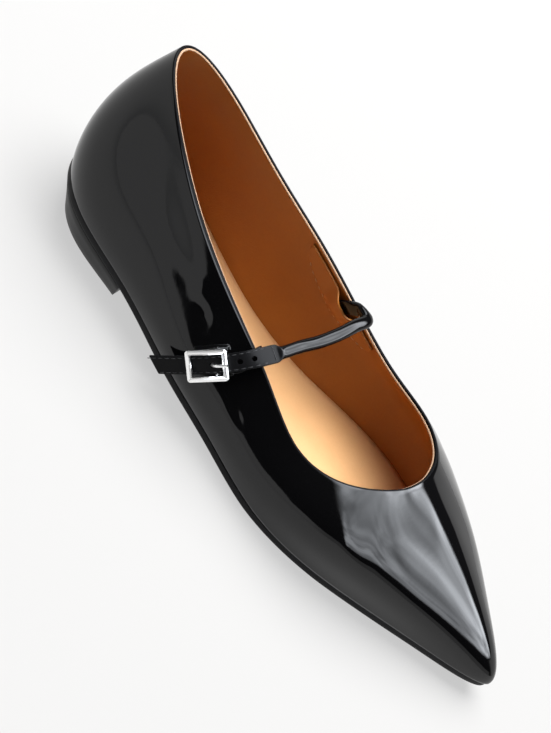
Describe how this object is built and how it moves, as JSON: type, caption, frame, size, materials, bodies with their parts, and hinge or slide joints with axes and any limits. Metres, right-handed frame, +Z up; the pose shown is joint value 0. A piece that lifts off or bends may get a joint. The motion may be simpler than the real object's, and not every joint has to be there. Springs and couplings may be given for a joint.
{
  "type": "pointed toe flat shoe",
  "caption": "Black patent pointed toe flat with an open vamp, a rolled instep strap closed by a small square buckle at the side, and a low heel.",
  "frame": {"origin": "middle of the heel block's flat bottom face, on the floor", "axes": "-Y towards the toe, +X towards the medial side, +Z up"},
  "size_m": [0.0866, 0.2663, 0.0774],
  "materials": {
    "upper_patent": "black patent, mirror gloss",
    "outsole_black": "black, satin edge",
    "heel_black": "black, satin",
    "insole_tan": "tan, soft sheen",
    "patch_tan": "tan, soft sheen",
    "strap_patent": "black patent, gloss",
    "tab_patent": "black patent, gloss",
    "buckle_silver": "polished",
    "prong_silver": "polished"
  },
  "bodies": {
    "root": {"upper": "upper_patent", "outsole": "outsole_black", "heel_block": "heel_black", "insole": "insole_tan", "strap_patch": "patch_tan", "strap": "strap_patent", "buckle_tab": "tab_patent", "buckle_frame": "buckle_silver", "buckle_prong": "prong_silver"}
  },
  "joints": []
}
